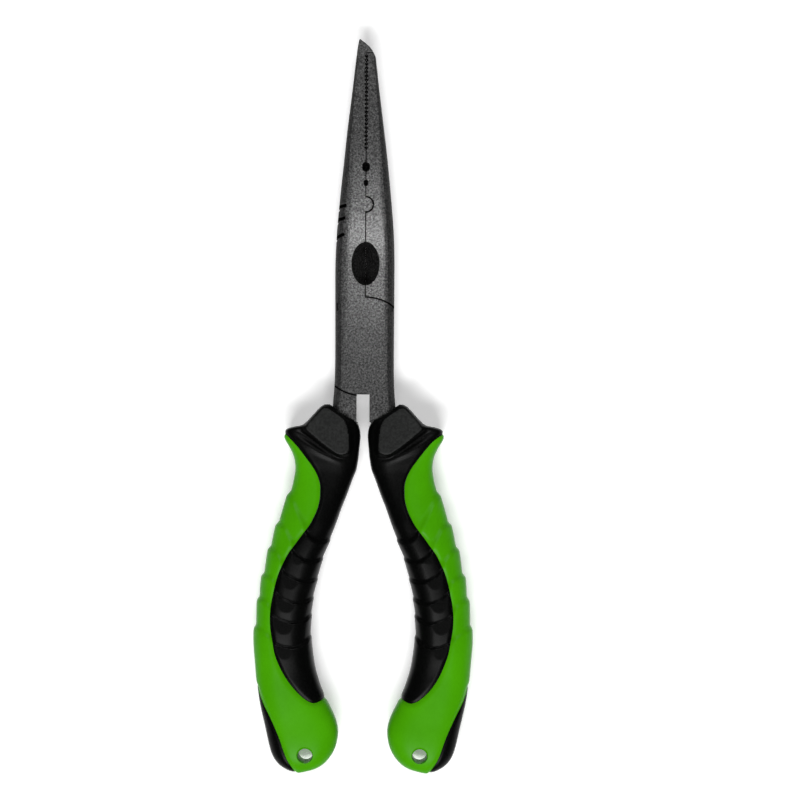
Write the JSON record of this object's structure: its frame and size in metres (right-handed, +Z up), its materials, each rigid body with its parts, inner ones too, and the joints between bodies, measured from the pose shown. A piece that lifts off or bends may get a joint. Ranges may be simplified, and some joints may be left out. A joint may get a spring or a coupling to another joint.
{
  "type": "fishing pliers",
  "caption": "Long-nose lap-joint fishing pliers with toothed jaws, line cutter, crimping notches, and two-tone moulded grips with finger guards and lanyard holes.",
  "frame": {"origin": "on the floor plane under the middle of the outline, lying flat and closed", "axes": "+Z up through the flat faces along the hinge axis, +Y towards the jaw tips, +X towards the right handle seen from above"},
  "size_m": [0.0654, 0.2196, 0.015],
  "materials": {
    "head_steel": "matte shot-blasted steel under a thin dark corrosion-proof coat",
    "rivet_steel": "ground flush and coated with the head",
    "green_shell": "smooth glossy moulding",
    "black_grip": "satin soft-touch overmould",
    "liner_plastic": "glass-filled nylon, hidden"
  },
  "bodies": {
    "rear_lever": {"rear_jaw_lever": "head_steel", "pivot_rivet": "rivet_steel", "left_tang_liner": "liner_plastic", "left_hard_shell": "green_shell", "left_soft_grip": "black_grip", "left_heel_bumper": "black_grip"},
    "front_lever": {"front_jaw_lever": "head_steel", "right_tang_liner": "liner_plastic", "right_hard_shell": "green_shell", "right_soft_grip": "black_grip", "right_heel_bumper": "black_grip"}
  },
  "joints": [
    {"name": "pivot_hinge", "type": "hinge", "parent": "rear_lever", "child": "front_lever", "pos_m": [0, 0.01775, 0.0075], "axis": [0, 0, 1], "range_deg": [0, 45]}
  ]
}
